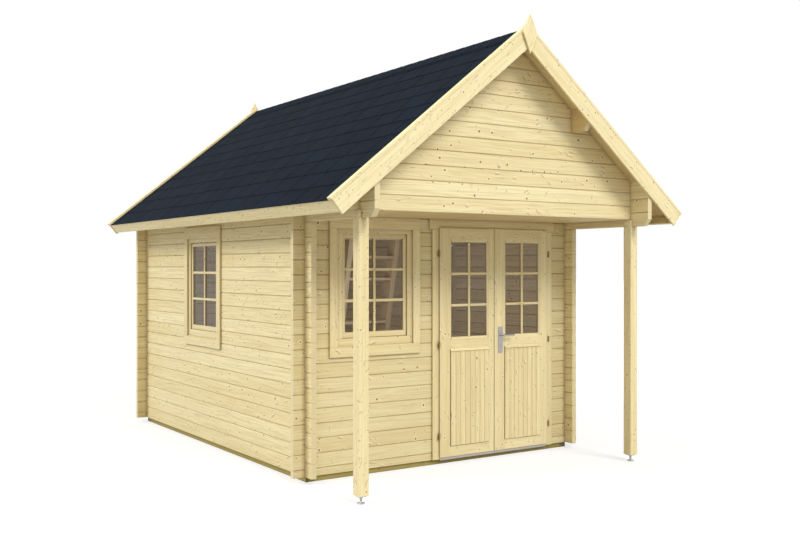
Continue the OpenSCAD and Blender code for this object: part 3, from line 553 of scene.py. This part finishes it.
def boardsFrom(name, node, material, gap):  # with their own grain and soft edges
    shape = newShape()
    solids = sorted(solidsOf(node), key=cornerOf)
    if gap:
        standClear(solids, gap)
    for points, faces in solids:
        addSolid(shape, points, faces)
    soft = finishPiece(name, shape, material, "cabin", [node]).modifiers.new("soft edges", "BEVEL")
    soft.width = softEdge
    soft.segments = 1
    soft.limit_method = "ANGLE"


# boards that keep their CAD shape
sashGap = 0.002
for wood, slot, pieces in [
        (joineryWood, "spruce_joinery", {
            "window_trim_boards": "window_trims", "window_frame_boards": "window_frames",
            "window_sash_boards": "window_sashes", "door_frame_boards": "door_frame",
            "door_trim_boards": "door_trim"}),
        (boardWood, "spruce_boards", {
            "bargeboard_planks": "bargeboards", "cap_lath_strips": "cap_laths",
            "eave_fascia_boards": "eave_fascias", "finial_boards": "finials",
            "porch_post_timbers": "porch_posts"}),
        (liningWood, "spruce_lining", {"purlin_logs": "side_purlins", "ridge_log": "ridge_purlin"}),
        (boardWood, "spruce_boards", {"loft_beam_timber": "loft_beam"}),
        (liningWood, "spruce_lining", {"ladder_rail_boards": "ladder_rails",
                                       "ladder_tread_boards": "ladder_treads"}),
        (beamWood, "green_impregnated", {"foundation_timbers": "foundation_beams"})]:
    for name, node in pieces.items():
        boardsFrom(name, node, wood, sashGap if node == "window_sashes" else 0.0)
print("boards made")

for node, material in (("window_panes", glass), ("left_door_panes", glass), ("right_door_panes", glass),
                       ("threshold", aluminium), ("frame_hinges", brownSteel),
                       ("left_door_hinges", brownSteel), ("right_door_hinges", brownSteel),
                       ("handle_plates", satinSteel), ("lever_handle", satinSteel)):
    wear(node, material)

# roof: lining boards, a sheet, courses of shingles, and caps on the ridge
roof = {"boardWidth": 0.095, "vee": 0.003, "under": 0.0012, "cover": 0.0065, "sheetShort": 0.004,
        "exposure": 0.2, "lap": 0.06, "tabWidth": 0.333, "slot": 0.009, "evenShift": 0.1, "narrow": 0.02,
        "slip": 0.0015, "lift": 0.0042, "topThin": 0.25, "capWide": 0.125, "capStep": 0.15, "capLap": 0.03,
        "capShort": 0.001, "capThick": 0.0018}
slopeSin, slopeCos = math.sin(pitch), math.cos(pitch)
boardLow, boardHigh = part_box("right_roof_boards")
apexZ = min(p.z for p in slopeCorners if p.x < 0.001)
boardTop = (ridgeTop.z - apexZ) * slopeCos  # the boards' thickness


def roofPoint(side, along, up, y):  # a point down one slope, at a height square to the boards' underside
    if along <= 0:  # the top ends are cut plumb, so that the slopes meet
        along = fit["board"] - up * math.tan(pitch)
    return (side * (along * slopeCos + up * slopeSin), y, apexZ - along * slopeSin + up * slopeCos)


def slopeLength(node):  # how far down the slope a node reaches
    return max((apexZ - v.co.z) * slopeSin + v.co.x * slopeCos for v in cadNodes[node].data.vertices)


for side, word in ((-1, "left"), (1, "right")):
    def onSlope(along, y, up, s=side):
        return roofPoint(s, along, up, y)

    shape = newShape()
    length, y0, y1 = slopeLength("right_roof_boards"), boardLow.y, boardHigh.y
    count = round((y1 - y0) / roof["boardWidth"])
    width = (y1 - y0) / count
    for i in range(count):
        b0, b1, vee, gap = y0 + i * width, y0 + (i + 1) * width, roof["vee"], fit["board"]
        section = [(b0 + vee, 0), (b1 - vee, 0), (b1 - gap, vee), (b1 - gap, boardTop),
                   (b0 + gap, boardTop), (b0 + gap, vee)]
        addBar(shape, section, 0.0, length, onSlope)
    finishPiece(word + "_roof_lining", shape, liningWood, "cabin", [word + "_roof_boards"])

    shape = newShape()
    reach = slopeLength("right_shingles")
    coverLow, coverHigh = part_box("right_shingles")
    low, high = boardTop + roof["under"], boardTop + roof["cover"]
    y0, y1 = coverLow.y, coverHigh.y
    sheetLow, sheetHigh = boardTop + fit["board"], low - fit["sheet"]
    sheet = [(y0, sheetLow), (y1, sheetLow), (y1, sheetHigh), (y0, sheetHigh)]
    addBar(shape, sheet, 0.0, reach - roof["sheetShort"], onSlope)
    courses = math.ceil(reach / roof["exposure"])
    for k in range(courses):
        bottom = reach - k * roof["exposure"]
        top = max(bottom - roof["exposure"] - roof["lap"], 0.0)
        at = y0 - draw.random() * (roof["tabWidth"] if k % 2 else roof["evenShift"])
        while at < y1:
            b0, b1 = max(at + roof["slot"] / 2, y0), min(at + roof["tabWidth"] - roof["slot"] / 2, y1)
            at += roof["tabWidth"]
            if b1 - b0 < roof["narrow"]:  # too narrow a strip to be laid
                continue
            slip = draw.uniform(-roof["slip"], roof["slip"]) if k else 0.0
            section = [(b0, 0), (b1, 0), (b1, 1), (b0, 1)]

            def tab(along, y, up, lower=bottom + slip, upper=top):  # thin at its top, under the next course
                share = (along - upper) / (lower - upper)
                under = low + (high - low - roof["lift"]) * share
                thick = roof["lift"] * (roof["topThin"] + (1 - roof["topThin"]) * share)
                return onSlope(along, y, under + up * thick)
            addBar(shape, section, top, bottom + slip, tab)
    # folded caps lap one another along the ridge, between the laths of the two gables
    lathInner = min(abs(v.co.y) for v in cadNodes["cap_laths"].data.vertices) - roof["capShort"]
    caps = round(2 * lathInner / roof["capStep"])
    step = 2 * lathInner / caps
    topCourse = reach - (courses - 1) * roof["exposure"]

    def cap(along, y, up):  # caps lie on the top course, which thins towards the ridge
        sink = (high - low - roof["lift"] * roof["topThin"]) * max(1 - along / topCourse, 0)
        return onSlope(along, y, up - sink)

    for i in range(caps):
        b0, t = -lathInner + i * step, roof["capThick"]
        b1 = min(b0 + step + roof["capLap"], lathInner)
        section = [(b0, high + t), (b1, high + fit["board"]), (b1, high + t), (b0, high + 2 * t)]
        addBar(shape, section, 0.0, roof["capWide"], cap)
    finishPiece(word + "_shingle_courses", shape, shingleCover, "cabin",
                [word + "_shingles"])
print("roof made")


# floors of tongued boards, with a V joint below
flooring = {"vee": 0.003, "soft": 0.0008, "floorWidth": 0.094, "loftWidth": 0.119}


def floorBoards(name, node, width):
    low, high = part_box(node)
    shape = newShape()
    count = round((high.x - low.x) / width)
    step = (high.x - low.x) / count
    vee, soft, gap = flooring["vee"], flooring["soft"], fit["board"]
    for i in range(count):
        b0, b1 = low.x + i * step + gap, low.x + (i + 1) * step - gap
        section = [(b0 + vee, low.z), (b1 - vee, low.z), (b1, low.z + vee), (b1, high.z - soft),
                   (b1 - soft, high.z), (b0 + soft, high.z), (b0, high.z - soft), (b0, low.z + vee)]
        addBar(shape, section, low.y, high.y, alongY)
    finishPiece(name, shape, liningWood, "cabin", [node])


floorBoards("floor_planks", "floor_boards", flooring["floorWidth"])
floorBoards("loft_planks", "loft_floor", flooring["loftWidth"])
print("floors made")

# glazing bars on both faces of every pane
bars = {"width": 0.022, "outside": 0.0115, "inside": 0.012, "chamfer": 0.004, "rows": 3}


def addGlazingBars(shape, low, high, outward):
    thin = 0 if high.x - low.x < high.y - low.y else 1
    wide = 1 - thin
    half = bars["width"] / 2
    upright = alongZ if wide == 0 else (lambda a, b, c: (c, b, a))
    level = alongX if wide == 0 else alongY
    for way, depth in ((outward, bars["outside"]), (-outward, bars["inside"])):
        glassFace = (low, high)[way > 0][thin] + way * fit["pane"]
        outerFace = glassFace + way * depth
        middle = (low[wide] + high[wide]) / 2

        def bevelled(at):  # (across, depth) points of a bar that narrows to its face
            c = bars["chamfer"]
            return [(at - half, glassFace), (at + half, glassFace), (at + half, outerFace - way * c),
                    (at + half - c, outerFace), (at - half + c, outerFace), (at - half, outerFace - way * c)]
        addBar(shape, bevelled(middle), low.z, high.z, upright)
        for row in range(1, bars["rows"]):
            at = low.z + (high.z - low.z) * row / bars["rows"]
            section = [(d, a) for a, d in bevelled(at)]
            addBar(shape, section, low[wide], middle - half, level)
            addBar(shape, section, middle + half, high[wide], level)


def boxOf(points):  # the lowest and highest corner of a solid's box
    return [Vector([pick(p[i] for p in points) for i in range(3)]) for pick in (min, max)]


shape = newShape()
for points, faces in solidsOf("window_panes"):
    low, high = boxOf(points)
    faceAxis = 0 if high.x - low.x < high.y - low.y else 1
    outward = -1 if faceAxis == 1 or low.x < 0 else 1
    addGlazingBars(shape, low, high, outward)
finishPiece("window_glazing_bars", shape, joineryWood, "cabin")

# door leaves: stiles, rails, matched boards below and panes above
leaf = {"lip": 0.013, "lipThick": 0.013, "clear": 0.005, "edge": 0.001, "bevelWide": 0.024,
        "bevelDeep": 0.007, "bottomRail": 0.086, "middleRail": 0.118, "panelWider": 0.014, "panelOut": 0.009,
        "panelThick": 0.02, "panelGap": 0.004, "boards": 8, "vee": 0.0035, "innerVee": 0.0028,
        "joint": 0.0001, "groove": 0.007, "tongue": 0.003, "dripOut": 0.016, "dripHigh": 0.024,
        "dripEdge": 0.009, "dripOver": 0.004, "dripSoft": 0.002, "bead": 0.018,
        "beadSlope": (0.002, 0.006, 0.01)}


# hingeSide is -1 where the hinges are at low x; sections are drawn across and through the leaf
def addLeaf(shape, low, high, paneLow, paneHigh, hingeSide):
    front, back = low.y + leaf["dripOut"], high.y
    lipBack = front + leaf["lipThick"]
    hingeGap, meetGap = leaf["lip"] + leaf["clear"], leaf["clear"]
    gapLow, gapHigh = (hingeGap, meetGap) if hingeSide < 0 else (meetGap, hingeGap)
    bead, e = leaf["bead"], leaf["edge"]
    sideLow, sideHigh = paneLow.x - fit["pane"], paneHigh.x + fit["pane"]
    x0, x1 = sideLow - bead, sideHigh + bead
    panelLow = low.z + leaf["bottomRail"]
    glassLow, glassHigh = paneLow.z - fit["pane"], paneHigh.z + fit["pane"]
    panelHigh = glassLow - leaf["middleRail"]
    bodyTop = high.z - hingeGap
    # stiles with their lip; the body behind it stops short of the head
    for edge, inner, gap in ((low.x, x0, gapLow), (high.x, x1, gapHigh)):
        s = 1 if inner > edge else -1
        face = [(inner - s * e, front), (inner, front + e), (inner, lipBack), (edge, lipBack)]
        if gap == hingeGap:  # the hinge edge falls away in a wide bevel
            face += [(edge, front + leaf["bevelDeep"]), (edge + s * leaf["bevelWide"], front)]
        else:
            face += [(edge, front + e), (edge + s * e, front)]
        addBar(shape, face, low.z, high.z, alongZ)
        rear = [(edge + s * gap, lipBack), (inner, lipBack), (inner, back - e), (inner - s * e, back),
                (edge + s * (gap + e), back), (edge + s * gap, back - e)]
        addBar(shape, rear, low.z, bodyTop, alongZ)
    # rails between the stiles
    for z0, z1 in ((low.z, panelLow), (panelHigh, glassLow - bead), (glassHigh + bead, bodyTop)):
        addBar(shape, plank(front, back, z0, z1, e), x0, x1, alongX)
    addBar(shape, plank(front, lipBack, bodyTop, high.z, e), x0, x1, alongX)
    # matched boards stand proud of the stiles, on a core that closes the back
    px0, px1 = sideLow - leaf["panelWider"], sideHigh + leaf["panelWider"]
    panelFront = front - leaf["panelOut"]
    panelBack = panelFront + leaf["panelThick"]
    core, coreBack = front + leaf["groove"], panelBack - leaf["tongue"]
    addBar(shape, plank(core, coreBack, panelLow, panelHigh, fit["board"]), x0, x1, alongX)
    v, step = leaf["vee"], (px1 - px0) / leaf["boards"]
    for i in range(leaf["boards"]):
        b0, b1 = px0 + i * step, px0 + (i + 1) * step
        j0, j1 = b0 + leaf["joint"], b1 - leaf["joint"]
        for face, deep, inside in ((panelFront, v, core), (panelBack, -leaf["innerVee"], coreBack)):
            addBar(shape, [(b0 + v, face), (b1 - v, face), (j1, face + deep), (j1, inside),
                           (j0, inside), (j0, face + deep)],
                   panelLow + leaf["panelGap"], panelHigh - fit["board"], alongZ)
    # weather bead over the panel
    nose, soft, shoulder = front - leaf["dripOut"], leaf["dripSoft"], panelHigh + leaf["dripEdge"]
    drip = [(front, panelHigh), (nose + soft, panelHigh), (nose, panelHigh + soft), (nose, shoulder - soft),
            (nose + soft, shoulder + soft / 2), (front, panelHigh + leaf["dripHigh"])]
    addBar(shape, drip, px0 - leaf["dripOver"], px1 + leaf["dripOver"], alongX)
    # glazing beads, outside and inside, that slope down to the pane
    for y0, y1 in ((front, paneLow.y - fit["pane"]), (back, paneHigh.y + fit["pane"])):
        outer, shoulder, rim = [y0 + slope * (1 if y1 > y0 else -1) for slope in leaf["beadSlope"]]
        for edge, inner in ((x0, paneLow.x), (x1, paneHigh.x)):
            bent = (3 * inner + edge) / 4
            addBar(shape, [(edge, outer), (bent, shoulder), (inner, rim), (inner, y1), (edge, y1)],
                   glassLow - bead, glassHigh + bead, alongZ)
        for edge, inner in ((glassLow - bead, paneLow.z), (glassHigh + bead, paneHigh.z)):
            bent = (3 * inner + edge) / 4
            addBar(shape, [(outer, edge), (shoulder, bent), (rim, inner), (y1, inner), (y1, edge)],
                   paneLow.x, paneHigh.x, alongX)
    addGlazingBars(shape, paneLow, paneHigh, -1)


for word, hingeSide in (("left", -1), ("right", 1)):
    shape = newShape()
    addLeaf(shape, *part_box(word + "_door"), *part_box(word + "_door_panes"), hingeSide)
    finishPiece(word + "_door_leaf", shape, joineryWood, word + "_door", [word + "_door"])
print("doors made")


# turned and threaded fittings
def addTurned(shape, profile, put, sides=32):  # a profile of (radius, height) turned about its axis
    first, tone = len(shape["points"]), draw.random()
    for radius, height in profile:
        for i in range(sides):
            turn = 2 * math.pi * i / sides
            shape["points"].append(put(radius * math.cos(turn), radius * math.sin(turn), height))
            shape["grain"].append((height, radius, turn / 6))
            shape["tone"].append(tone)
    for k in range(len(profile) - 1):
        for i in range(sides):
            j = (i + 1) % sides
            a, b = first + k * sides, first + (k + 1) * sides
            shape["faces"].append((a + i, a + j, b + j, b + i))
            shape["ends"].append(0.0)
    last = first + (len(profile) - 1) * sides
    shape["faces"] += [tuple(range(first, first + sides)), tuple(range(last + sides - 1, last - 1, -1))]
    shape["ends"] += [0.0, 0.0]


# a threaded rod on a disc, a nut and a plate with four screws under each post
foot = {"disc": 0.028, "discHigh": 0.008, "discEdge": 0.002, "collar": 0.003, "rod": 0.009, "thread": 0.0025,
        "threadDeep": 0.0012, "threadRoot": 0.0002, "threadEnd": 0.002, "nut": 0.0165, "nutHigh": 0.012,
        "nutBevel": 0.0015, "nutFace": 0.88, "plate": 0.03, "plateThick": 0.006, "plateEdge": 0.002,
        "screwAt": 0.021, "screw": [(0.0035, -0.003), (0.0055, -0.0015), (0.0055, 0)]}
footLow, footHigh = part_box("post_feet")
shape = newShape()
for side in (-1, 1):
    x = side * (footHigh.x - foot["plate"])
    y = (footLow.y + footHigh.y) / 2

    def atFoot(px, py, z, cx=x, cy=y):
        return (cx + px, cy + py, z)
    top = footHigh.z - foot["plateThick"]
    r, rod, discTop, collar = foot["disc"], foot["rod"], foot["discHigh"], foot["collar"]
    threadLow = discTop + collar
    profile = [(r - foot["discEdge"], 0), (r, foot["discEdge"]), (r, discTop - collar), (r - collar, discTop),
               (rod + collar, discTop), (rod, threadLow)]
    for k in range(int((top - foot["threadEnd"] - threadLow) / foot["thread"])):
        z = threadLow + k * foot["thread"]
        profile += [(rod - foot["threadDeep"], z + foot["threadRoot"]), (rod, z + foot["thread"] / 2)]
    addTurned(shape, profile + [(rod, top)], atFoot)
    r, face, z = foot["nut"], foot["nut"] * foot["nutFace"], top - foot["nutHigh"]
    nut = [(face, z), (r, z + foot["nutBevel"]), (r, top - foot["nutBevel"]), (face, top)]
    addTurned(shape, nut, atFoot, 6)
    w = foot["plate"]
    addBar(shape, plank(x - w, x + w, y - w, y + w, foot["plateEdge"]), top, footHigh.z, alongZ)
    for px in (-foot["screwAt"], foot["screwAt"]):
        for py in (-foot["screwAt"], foot["screwAt"]):
            addTurned(shape, foot["screw"],
                      lambda a, b, h, cx=x + px, cy=y + py: (cx + a, cy + b, top + h), 6)
finishPiece("adjustable_feet", shape, zincSteel, "cabin", ["post_feet"])

# screws in the handle plates: how far from the plate's ends, and the head's profile
plateScrew = {"inset": 0.016, "head": [(0.0048, 0), (0.0048, 0.0006), (0.0034, 0.0016), (0.0012, 0.0019)]}
shape = newShape()
plateLow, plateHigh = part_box("handle_plates")
plateX = (plateLow.x + plateHigh.x) / 2
for face, way in ((plateLow.y, -1), (plateHigh.y, 1)):
    for z in (plateLow.z + plateScrew["inset"], plateHigh.z - plateScrew["inset"]):
        addTurned(shape, plateScrew["head"],
                  lambda a, b, h, z=z, face=face, way=way: (plateX + a, face + way * h, z + b), 20)
finishPiece("handle_plate_screws", shape, satinSteel, "right_door")

# domed caps on the hinge pins: the knuckle's radius, and the dome's profile
pin = {"knuckle": 0.007, "cap": [(0.007, 0), (0.0066, 0.0012), (0.0045, 0.0026), (0.0018, 0.0032)]}


def pinCaps(name, body, hinges, atTop):
    shape = newShape()
    for points, faces in solidsOf(hinges):
        low, high = boxOf(points)
        left = low.x + high.x < 2 * plateX
        cx = low.x + pin["knuckle"] if left else high.x - pin["knuckle"]
        cy = low.y + pin["knuckle"]
        end, way = (high.z, 1) if atTop else (low.z, -1)
        addTurned(shape, pin["cap"],
                  lambda a, b, h, cx=cx, cy=cy, end=end, way=way: (cx + a, cy + b, end + way * h), 24)
    finishPiece(name, shape, brownSteel, body)


pinCaps("frame_hinge_caps", "cabin", "frame_hinges", False)
pinCaps("left_door_hinge_caps", "left_door", "left_door_hinges", True)
pinCaps("right_door_hinge_caps", "right_door", "right_door_hinges", True)
print("fittings made")

# camera, light and floor
view = {"at": (-4.850, -7.893, 1.647), "turn": -33.77, "lens": 43.58}
cameraData = bpy.data.cameras.new("camera")
cameraData.lens = view["lens"]
cameraData.sensor_width = 36.0
camera = bpy.data.objects.new("camera", cameraData)
camera.location = view["at"]
camera.rotation_euler = (math.radians(90), 0, math.radians(view["turn"]))
sceneObjects.link(camera)
bpy.context.scene.camera = camera

# suns: strength, spread in degrees, and turn; room lamps: watts and place
light = {"sky": 0.67, "suns": {"left sun": (1.65, 20, (53, 0, -116)), "front sun": (1.87, 24, (50, 0, 6))},
         "rooms": {"room lamp": (17.0, (-0.2, -0.7, 1.3)), "back room lamp": (8.0, (0.25, 1.2, 1.4))},
         "roomColour": (0.56, 0.66, 1.0), "roomSoft": 0.35, "floor": 0.42, "floorLift": 0.6, "floorHalf": 80}


def seeingRays(tree):  # 1 on rays that end in the picture, straight or by way of metal or glass
    path = addNode(tree, "LightPath")
    seen = addNode(tree, "Math", {"operation": "MAXIMUM"}, {0: path.outputs["Is Camera Ray"],
                                                            1: path.outputs["Is Glossy Ray"]})
    return addNode(tree, "Math", {"operation": "MAXIMUM"}, {0: seen, 1: path.outputs["Is Transmission Ray"]})


world = bpy.data.worlds.new("studio")
bpy.context.scene.world = world
world.use_nodes = True
world.node_tree.nodes.clear()
tree = world.node_tree
strength = addNode(tree, "MapRange", {"To Min": light["sky"], "To Max": 1.0}, {"Value": seeingRays(tree)})
sky = addNode(tree, "Background", {"Color": (1, 1, 1, 1)}, {"Strength": strength})
addNode(tree, "OutputWorld", {}, {"Surface": sky})

for name, (power, spread, turn) in light["suns"].items():
    sunData = bpy.data.lights.new(name, "SUN")
    sunData.energy = power
    sunData.angle = math.radians(spread)
    sun = bpy.data.objects.new(name, sunData)
    sun.rotation_euler = [math.radians(x) for x in turn]
    sceneObjects.link(sun)

for name, (power, place) in light["rooms"].items():  # the room is seen through its panes
    roomData = bpy.data.lights.new(name, "POINT")
    roomData.energy = power
    roomData.color = light["roomColour"]
    roomData.shadow_soft_size = light["roomSoft"]
    room = bpy.data.objects.new(name, roomData)
    room.location = place
    room.visible_glossy = room.visible_transmission = False  # the lamp itself doesn't show in the glass
    sceneObjects.link(room)

half = light["floorHalf"]
floorMesh = bpy.data.meshes.new("floor")
floorMesh.from_pydata([(-half, -half, 0), (half, -half, 0), (half, half, 0), (-half, half, 0)], [],
                      [(0, 1, 2, 3)])
floor = bpy.data.objects.new("floor", floorMesh)
sceneObjects.link(floor)
# floor: matt grey that is lifted to white where it is seen, and keeps the cabin's soft shadow
material, tree = newMaterial("Studio floor, matt white")
matt = addNode(tree, "BsdfDiffuse", {"Color": [light["floor"]] * 3 + [1.0]})
lift = addNode(tree, "Math", {"operation": "MULTIPLY", 1: light["floorLift"]}, {0: seeingRays(tree)})
glowing = addNode(tree, "Emission", {"Color": (1, 1, 1, 1)}, {"Strength": lift})
both = addNode(tree, "AddShader", {}, {0: matt, 1: glowing})
endMaterial(tree, both)
floorMesh.materials.append(material)
bpy.context.scene.view_settings.view_transform = "Standard"

print("scene ready")
